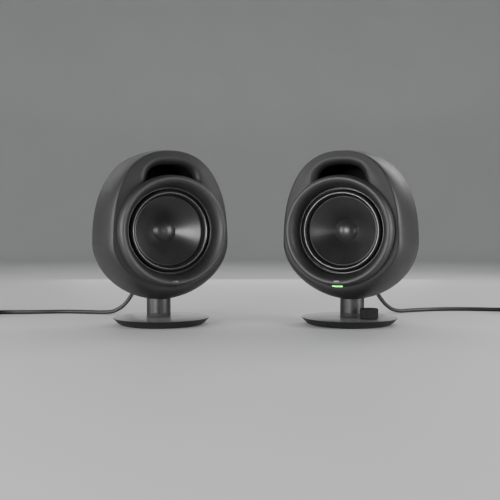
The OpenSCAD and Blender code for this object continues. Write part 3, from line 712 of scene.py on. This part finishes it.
def make_baffle(side, name):
    """The front panel: a crowned face whose edge falls to the seam, the port's soft flare with
    its collar, the cup that holds the driver, a locating rim and four posts behind."""
    face = plate(front_loop(EDGE_W), [arch_loop(FLARE, 0), circle_loop(CUP_R)], crowned, 4.4)
    edge_start = [crowned(x, z) for x, z in front_loop(EDGE_W)]
    rim = []
    for t in (i / 8 for i in range(9)):
        rim.append([(x, mix(y, SEAM_Y - 0.4, t), z) for (x, z), y in zip(
            front_loop(mix(EDGE_W, SEAM_GAP, t)), edge_start)])
    rim += [at_depth(front_loop(SEAM_GAP + 0.1), SEAM_Y + 0.3),
            at_depth(front_loop(WALL + 0.3), SEAM_Y + 0.3),
            at_depth(front_loop(WALL + 0.3), SPIGOT_Y)]
    flare = []
    for t in (math.radians(7.5 * i) for i in range(13)):
        flare.append([(x, mix(crowned(x, z), FLARE_BACK, 1 - math.cos(t)), z)
                      for x, z in arch_loop(FLARE * (1 - math.sin(t)), 0)])
    flare += [at_depth(arch_loop(3, 1.6), FLARE_BACK), at_depth(arch_loop(3, 1.6), SPIGOT_Y)]
    back = plate(front_loop(WALL + 0.3), [arch_loop(3, 1.6), circle_loop(CUP_OUT_R)],
                 lambda x, z: SPIGOT_Y, 9)
    cup = [at_depth(circle_loop(r), -f) for r, f in
           ((CUP_R, -FACE_Y), (CUP_R, SEAT_F), (SEAT_R, SEAT_F), (SEAT_R, SEAT_F - SEAT_T),
            (CUP_OUT_R, SEAT_F - SEAT_T), (CUP_OUT_R, -SPIGOT_Y))]
    cup[0] = [(x, crowned(x, z), z) for x, z in circle_loop(CUP_R)]
    posts = []
    for x, z in POSTS:
        start = SPIGOT_Y - 0.5 if z > driver_z else -SEAT_F
        posts.append(moved(lathe([(1.5, start), (4, start), (4, 17.2), (3.4, 17.8), (1.9, 17.8),
                                  (1.5, 17.4)], 40, closed=True), at(x, 0, z) @ BACKWARDS))
    whole = joined(face, bridge(rim), bridge(flare), back, bridge(cup), *posts)
    put(name + "_baffle", whole, speaker(side), "baffle", name + "_cabinet",
        [name + "_front_baffle"], 32)


def make_duct(side, name):
    """The port's tube, flared a little at its inner end."""
    rings = [at_depth(arch_loop(0, 0), FLARE_BACK), at_depth(arch_loop(0, 0), DUCT_END - 1.5),
             at_depth(arch_loop(0.3, 0.3), DUCT_END - 0.4), at_depth(arch_loop(0.8, 0.8), DUCT_END),
             at_depth(arch_loop(1.3, 1.3), DUCT_END - 0.4),
             at_depth(arch_loop(DUCT_WALL, DUCT_WALL), DUCT_END - 1.2),
             at_depth(arch_loop(DUCT_WALL, DUCT_WALL), FLARE_BACK)]
    put(name + "_duct", bridge(rings + [rings[0]]), speaker(side), "duct", name + "_cabinet",
        [name + "_port_duct"], 40)


# ---- Driver, in its own frame ----

LIP_R, BEZEL_R, BEZEL_FRONT, BEZEL_MID = 60.6, 65, 57, 47.5
BEZEL_INNER_R, BEZEL_DEEP = 51.4, 38.5
ROLL_R, ROLL_TUBE, ROLL_RISE, ROLL_T, ROLL_F = 45, 3.7, 7, 0.8, 32.4
CONE_R, CONE_F, COIL_R, NECK_F = 40.4, 30.9, 13, 12.6
CAP_R, CAP_RISE, CAP_F = 13.6, 4.5, 13.3
TRIM_BEAD_R, CREST_HIGHLIGHT_R = 0.4, 0.5
BADGE_R = 58.6
LIGHT_W, LIGHT_R, LIGHT_LOW, LIGHT_F = 12.6, 64.8, 61.3, 50.2


def make_bezel(side, name):
    """The fat rolled ring, a quarter ellipse outside and a deeper one inside, with a bead at its
    inner edge and a fine bright line on top of the surround, a painted highlight on the roll's crest."""
    rise = BEZEL_FRONT - BEZEL_MID
    profile = [(BEZEL_R - 1.4, -SEAM_Y), (BEZEL_R - 0.9, -FACE_Y - 0.6)]
    profile += arc(LIP_R, BEZEL_MID, BEZEL_R - LIP_R, -14, 90, 26, rise)
    profile += arc(LIP_R, BEZEL_DEEP, LIP_R - BEZEL_INNER_R, 90, 180, 26,
                   BEZEL_FRONT - BEZEL_DEEP)[1:]
    profile += [(50.5, 37.7), (50.3, 37.4), (50.3, 33), (51.4, 33), (51.4, 34.2), (56.6, 34.2),
                (56.6, -SEAM_Y)]
    put(name + "_bezel", lathe(profile, 256, closed=True), driver(side), "bezel",
        name + "_cabinet", [name + "_bezel_ring"], 50)
    bead = arc(50.2, 37.3, TRIM_BEAD_R, 0, 330, 11)
    # The line on the roll's crest is a painted highlight, drawn as a thin bright metal ring.
    line = arc(ROLL_R - 0.4, ROLL_F + ROLL_RISE - 0.15, CREST_HIGHLIGHT_R, 0, 330, 11)
    for label, profile, finish in (("_trim_bead", bead, "badge"), ("_crest_highlight_line", line, "trim")):
        put(name + label, lathe(profile, 256, closed=True), driver(side), finish,
            name + "_cabinet", (), 60)


def make_badge(side, name):
    """A plain pill let into the bezel's lip."""
    rings = [[(x * k, y * k, f) for x, y in pill(7, 2)]
             for k, f in ((1, 55.6), (1, 56.95), (0.97, 57.12), (0.9, 57.2))]
    put(name + "_pill", bridge(rings, caps=True), driver(side) @ at(0, -BADGE_R, 0), "badge",
        name + "_cabinet", [name + "_badge"], 40)


def make_surround(side, name):
    """The rubber half roll, with its glue flange and a deep inner leg that the cone slides in."""
    flat = ROLL_F - 0.4
    profile = [(51.2, flat), (51.2, flat + ROLL_T), (49.2, flat + ROLL_T)]
    profile += arc(ROLL_R, ROLL_F, ROLL_TUBE, 12, 180, 28, ROLL_RISE)
    profile += [(ROLL_R - ROLL_TUBE, 28.4), (ROLL_R - ROLL_TUBE + ROLL_T, 28.4)]
    profile += arc(ROLL_R, ROLL_F, ROLL_TUBE - ROLL_T, 180, 0, 28, ROLL_RISE - ROLL_T)
    put(name + "_roll", lathe(profile, 256, closed=True), driver(side), "surround",
        name + "_cabinet", [name + "_surround"], 50)


def make_cone(side, name):
    """The cone, with a collar at its edge that fills the roll's inner leg at any travel."""
    edge = ROLL_R - ROLL_TUBE - 0.15
    profile = [(edge, 25.4), (edge, 31.0), (edge - 0.25, 31.3), (edge - 0.6, 31.35),
               (CONE_R - 0.8, CONE_F - 0.1)]
    for i in range(1, 25):
        t = i / 24
        bow = 0.55 * math.sin(math.pi * t)
        profile.append((mix(CONE_R - 0.8, COIL_R, t), mix(CONE_F - 0.1, NECK_F, t) + bow))
    profile += [(COIL_R, NECK_F - 1.1), (CONE_R - 0.4, CONE_F - 1.3), (edge - 0.6, 29.6),
                (edge - 0.6, 25.4)]
    put(name + "_diaphragm", lathe(profile, 256, closed=True), driver(side), "cone",
        name + "_cone", [name + "_cone"], 50)
    dome = (CAP_R ** 2 + CAP_RISE ** 2) / (2 * CAP_RISE)
    steep = math.degrees(math.asin(CAP_R / dome))
    middle = CAP_F + CAP_RISE - dome
    cap = arc(0, middle, dome, 90, 90 - steep, 20)
    cap += [(CAP_R + 0.5, CAP_F - 0.1), (CAP_R + 0.4, CAP_F - 0.3), (CAP_R - 0.4, CAP_F - 0.55)]
    cap += arc(0, middle, dome - 0.7, 90 - steep, 90, 20)
    cap[0], cap[-1] = (0, cap[0][1]), (0, cap[-1][1])
    put(name + "_cap", lathe(cap, 192), driver(side), "cap", name + "_cone",
        [name + "_dust_cap"], 60)


def make_light_bar():
    """A small green lens, let into the bottom of the bezel."""
    lens = rounded_box((-LIGHT_W / 2, -LIGHT_R - 0.15, LIGHT_F),
                       (LIGHT_W / 2, -LIGHT_LOW, LIGHT_F + 3.2), 1.3)
    put("light_lens", lens, driver(RIGHT), "light", "right_cabinet", ["light_bar"],
        40)


# ---- Back and inside ----

def cross_screw(head_r, head_h):
    """A pan head with a cross recess, standing on Z = 0."""
    head = lathe([(0, 0), (head_r, 0), (head_r, head_h * 0.45), *arc(
        0, head_h * 0.45, head_r, 0, 90, 8, head_h * 0.55)[1:-1], (0, head_h)], 40)
    reach, half = head_r * 0.6, head_r * 0.13
    cuts = [rounded_box((-a, -b, head_h * 0.35), (a, b, head_h * 1.5), 0.08, 1)
            for a, b in ((reach, half), (half, reach))]
    return carve(head, *cuts)


def make_cabinet_screws(side, name):
    head = cross_screw(3, 2.4)
    shank = lathe([(0, -18), (0.9, -18), (1.4, -16.5), (1.4, 0.5), (0, 0.5)], 24)
    short = lathe([(0, -6.5), (0.9, -6.5), (1.4, -5.5), (1.4, 0.5), (0, 0.5)], 24)
    parts = [moved(joined(head, shank), at(x, 24, z) @ BACKWARDS) for x, z in POSTS]
    parts += [moved(joined(head, short), at(x, y, 42.5)) for x, y in BRACKET_FEET]
    put(name + "_case_screws", joined(*parts), speaker(side), "screw", name + "_cabinet",
        [name + "_cabinet_screws"], 35)


def make_damping(side, name):
    """A block of wadding, with sides that swell a little and a soft uneven surface."""
    low, high = Vector((-29.2, 38.4, 118.8)), Vector((29.2, 47.6, 164.2))
    work = bmesh.new()
    bmesh.ops.create_cube(work, size=2)
    bmesh.ops.subdivide_edges(work, edges=work.edges[:], cuts=15, use_grid_fill=True)
    half, mid = (high - low) / 2, (high + low) / 2
    for v in work.verts:
        flat = [max(-1, min(1, c)) for c in v.co]
        soft = [c * (1 - 0.06 * sum(o ** 6 for o in flat) / 3 * abs(c)) for c in flat]
        wave = 0.02 * math.sin(9 * flat[0] + 2) * math.sin(7 * flat[2] + flat[1])
        v.co = [m + h * (s + wave * (s > 0) - wave * (s < 0)) for m, h, s in zip(mid, half, soft)]
    work.verts.index_update()
    part = [v.co.copy() for v in work.verts], [[v.index for v in f.verts] for f in work.faces]
    work.free()
    piece = put(name + "_wadding", part, speaker(side), "felt", name + "_cabinet",
                [name + "_damping_pad"], 60)


def make_jack_panel():
    """The tray at the back, whose rim follows the shell."""
    body = carve(egg(0, [at_depth(front_loop(0.3), SEAM_Y)]),
                 panel_block(0, 1.5, PANEL_Y - 2.5, REAR_Y + 2), how="INTERSECT")
    cuts = [panel_block(-1.6, 1.2, PANEL_Y, REAR_Y + 2)]
    cuts += [rod(x, JACK_Z, 50, PANEL_Y + 1, 4.15) for x in (-13, 0, 13)]
    tray = carve(body, joined(*cuts))
    feet = [rod(x, z, 44.6, PANEL_Y - 2.4, 2.5, 32) for x in (-19, 19) for z in (77, 93)]
    put("jack_tray", joined(tray, *feet), speaker(RIGHT), "panel", "right_cabinet",
        ["jack_panel"], 32)


def make_jack_sockets():
    """Two audio sockets with knurled nuts, and between them the stepped link socket."""
    nut = [(1.8, 46), (1.8, 60.0), (2.1, 60.2), (3.6, 60.2), (3.95, 59.9), (3.95, 45.1),
           (3.85, 45), (0, 45), (0, 46)]
    link = [(1.7, 48), (1.7, 65.1), (1.95, 65.5), (3.7, 65.5), (3.95, 65.2), (3.95, 63.6),
            (3.75, 63.4), (3.75, 62.6), (3.95, 62.4), (3.95, 45.1), (3.85, 45), (0, 45), (0, 48)]
    parts = [moved(lathe(form, 64), at(x, 0, JACK_Z) @ BACKWARDS)
             for x, form in ((-13, nut), (13, nut), (0, link))]
    put("jack_set", joined(*parts), speaker(RIGHT), "plated", "right_cabinet",
        ["jack_sockets"], 35)


# ---- Stand ----

COLLAR_H, COLLAR_GROOVE = 4.4, 0.25
STEM_EDGE_R = 1.4


def make_stem(side, name):
    """The post, dark below a fine groove, with a tongue and a knuckle on top for the tilt pin."""
    mark = foot_h + COLLAR_H
    post = lathe([(6, foot_h), (STEM_R - 0.4, foot_h), (STEM_R, foot_h + 0.4),
                  (STEM_R, mark - 0.1), (STEM_R - COLLAR_GROOVE, mark),
                  (STEM_R - COLLAR_GROOVE, mark + 0.4), (STEM_R, mark + 0.5),
                  (STEM_R, STEM_TOP - STEM_EDGE_R),
                  *arc(STEM_R - STEM_EDGE_R, STEM_TOP - STEM_EDGE_R, STEM_EDGE_R, 0, 90, 6)[1:],
                  (0, STEM_TOP), (0, STEM_TOP - 5), (6, STEM_TOP - 5)], 160)
    half, r = 7.5, 9.0
    arch = [(-r, STEM_TOP - 1), (r, STEM_TOP - 1), *arc(0, pivot.z, r, 0, 180, 36)]
    tongue = bridge([[(x, y * s, z) for y, z in arch] for x, s in (
        (-half, 0.95), (-half + 0.4, 1), (half - 0.4, 1), (half, 0.95))], caps=True)
    made = put(name + "_post", joined(post, tongue), speaker(side) @ at(0, pivot.y, 0), "stem",
               "stands", [name + "_stem"], 32)
    made.data.materials.append(FINISHES["pad"])
    for face in made.data.polygons:
        if face.center.z < (mark + 0.2) * MM:
            face.material_index = 1


FOOT_R, FOOT_LOW_R, FOOT_LOW_Z, CAVITY_R, CAVITY_Z = 58.4, 49, 0.6, 43.5, 6
FLANK_POWER = 1.4


def make_foot(side, name):
    """The dish: a flat satin top, a crisp edge, a sloping flank and a shallow hollow below. The top is satin metal
    painted lighter, as painted light from above, and the flank is painted darker, as painted shade.
    """
    top = foot_h - 0.35
    flank = [(mix(FOOT_LOW_R, FOOT_R, t), mix(FOOT_LOW_Z, top - 0.05, t ** FLANK_POWER))
             for t in (i / 20 for i in range(20, -1, -1))]
    profile = [(0, foot_h), (20, foot_h), (FOOT_R - 0.75, foot_h), (FOOT_R - 0.3, foot_h - 0.1),
               (FOOT_R, top), *flank, (CAVITY_R + 0.4, FOOT_LOW_Z), (CAVITY_R, FOOT_LOW_Z + 0.4),
               (CAVITY_R, CAVITY_Z), (0, CAVITY_Z)]
    cuts = [moved(prism(arc(0, 0, 6, 0, 350, 35), -1, 20), at(0, pivot.y, 0))]
    if side == RIGHT:
        cuts.append(moved(prism(arc(0, 0, 5.1, 0, 350, 35), -1, 20),
                          at(knob_place.x, knob_place.y, 0)))
    base = put(name + "_base", carve(lathe(profile, 192), joined(*cuts)), speaker(side), "foot",
               "stands", [name + "_foot"], 28)
    base.data.materials.append(FINISHES["foot_top_painted_light"])
    # Faces on the top take the lighter painted-light finish; the rest keep the darker painted-shade flank colour.
    for face in base.data.polygons:
        if face.normal.z > 0.2 and face.center.z > (foot_h - 0.2) * MM:
            face.material_index = 1


def make_pads():
    """Rubber discs with a groove, one under each foot."""
    profile = [(0, 2.4), (42.8, 2.4), (43.3, 1.9), (43.3, 0.5), (42.8, 0), (38.4, 0), (38, 0.4),
               (38, 0.6), (36, 0.6), (36, 0.4), (35.6, 0), (0, 0)]
    parts = [moved(lathe(profile, 160), speaker(side)) for side, _ in SIDES]
    put("rubber_pads", joined(*parts), Matrix.Identity(4), "pad", "stands", ["foot_pads"],
        30)


def make_knob():
    """The volume knob: a ribbed side, a dished top and a pointer groove."""
    low, r, ribs, n = foot_h + 0.4, 11.0, 48, 384
    rings = []
    for radius, z, rib in ((8, low + 1.8, 0), (8, low, 0), (r - 0.7, low, 0), (r, low + 0.7, 0.3),
                           (r, low + 1.6, 1), (r, knob_top - 2.0, 1), (r - 0.15, knob_top - 1.1, 0.5),
                           (r - 0.55, knob_top - 0.35, 0), (r - 1.1, knob_top, 0),
                           (r - 2.4, knob_top, 0), (r - 3.4, knob_top - 0.35, 0),
                           (2, knob_top - 0.5, 0)):
        ring = []
        for k in range(n):
            a = math.tau * k / n
            out = radius - 0.28 * rib * (0.5 - 0.5 * math.cos(ribs * a)) ** 2
            ring.append((out * math.cos(a), out * math.sin(a), z))
        rings.append(ring)
    where = speaker(RIGHT) @ at(knob_place.x, knob_place.y, 0)
    body = carve(bridge(rings, caps=True),
                 rounded_box((-0.45, 5.6, knob_top - 0.9), (0.45, 10.6, knob_top + 1), 0.2, 2),
                 prism(arc(0, 0, 3, 0, 350, 35), low - 1, knob_top - 3.7))
    put("volume_dial", body, where, "knob", "volume_knob", ["volume_knob"], 30)


for side, side_name in SIDES:
    make_rear_shell(side, side_name)
    make_baffle(side, side_name)
    make_duct(side, side_name)
    make_bezel(side, side_name)
    make_badge(side, side_name)
    make_surround(side, side_name)
    make_cone(side, side_name)
    make_cabinet_screws(side, side_name)
    make_damping(side, side_name)
    make_stem(side, side_name)
    make_foot(side, side_name)
make_light_bar()
make_jack_panel()
make_jack_sockets()
make_pads()
make_knob()

# ---- Finishes of the model's own pieces that stay ----

KEPT = {
    "basket": ["driver_basket"], "copper": ["voice_coil"], "cloth": ["spider"],
    "steel": ["top_plate", "yoke", "tilt_bracket"], "ferrite": ["magnet"],
    "screw": ["driver_screws"],
}
KEPT_ONCE = {
    "board": ["amplifier_board"], "iron": ["foot_weights"], "screw": ["foot_screws"],
    "steel": ["pivot_pins", "volume_control", "knob_shaft"],
}
kept_nodes = [(finish, f"{side_name}_{node}") for finish, nodes in KEPT.items()
              for node in nodes for _, side_name in SIDES]
kept_nodes += [(finish, node) for finish, nodes in KEPT_ONCE.items() for node in nodes]
for finish, node in kept_nodes:
    for material_slot in frame["nodes"][node].material_slots:
        material_slot.material = FINISHES[finish]

# ---- Studio ----

def make_stage():
    """A pale floor that rises into a wall all round, far outside the speakers."""
    flat, bend, wall = 2400, 900, 3200
    profile = [(0, 0), (600, 0), (1500, 0), (flat, 0), *arc(flat, bend, bend, -90, 0, 16)[1:],
               (flat + bend, wall)]
    floor = new_object("floor", lathe(profile, 128), Matrix.Identity(4))
    floor.data.shade_smooth()
    floor.data.materials.append(FINISHES["floor"])


def softbox(name, place, aim, size, watts):
    data = bpy.data.lights.new(name, "AREA")
    data.shape = "RECTANGLE"
    data.size, data.size_y = size
    data.energy = watts
    lamp = bpy.data.objects.new(name, data)
    bpy.context.scene.collection.objects.link(lamp)
    lamp.location = place
    lamp.visible_camera = False
    lamp.rotation_euler = (Vector(aim) - Vector(place)).to_track_quat("-Z", "Y").to_euler()


def light_studio():
    world = bpy.data.worlds.new("studio")
    world.use_nodes = True
    backdrop = world.node_tree.nodes["Background"]
    backdrop.inputs["Color"].default_value = (0.9, 0.95, 1.0, 1)
    backdrop.inputs["Strength"].default_value = 0.12
    bpy.context.scene.world = world
    softbox("key", (-0.68, -1.15, 0.22), (-0.05, 0, 0.11), (0.5, 0.42), 14)
    softbox("fill", (0.56, -1.2, 0.18), (0.05, 0, 0.11), (0.42, 0.34), 2)
    softbox("side_left", (-1.25, -0.5, 0.26), (0, 0, 0.11), (0.5, 0.6), 10)
    softbox("side_right", (1.2, -0.5, 0.3), (0, 0, 0.11), (0.5, 0.6), 14)
    softbox("top", (0, 1.2, 1.8), (0, 0.1, 0), (2.4, 1.0), 17)
    softbox("rim_right", (0.8, 0.85, 0.7), (0.1, 0, 0.14), (0.4, 0.5), 3)
    softbox("rim_left", (-0.85, 0.8, 0.7), (-0.1, 0, 0.14), (0.4, 0.5), 1)
    softbox("low_back", (0, 0.95, 0.12), (0, 0, 0.02), (0.9, 0.17), 0.6)


make_stage()
light_studio()
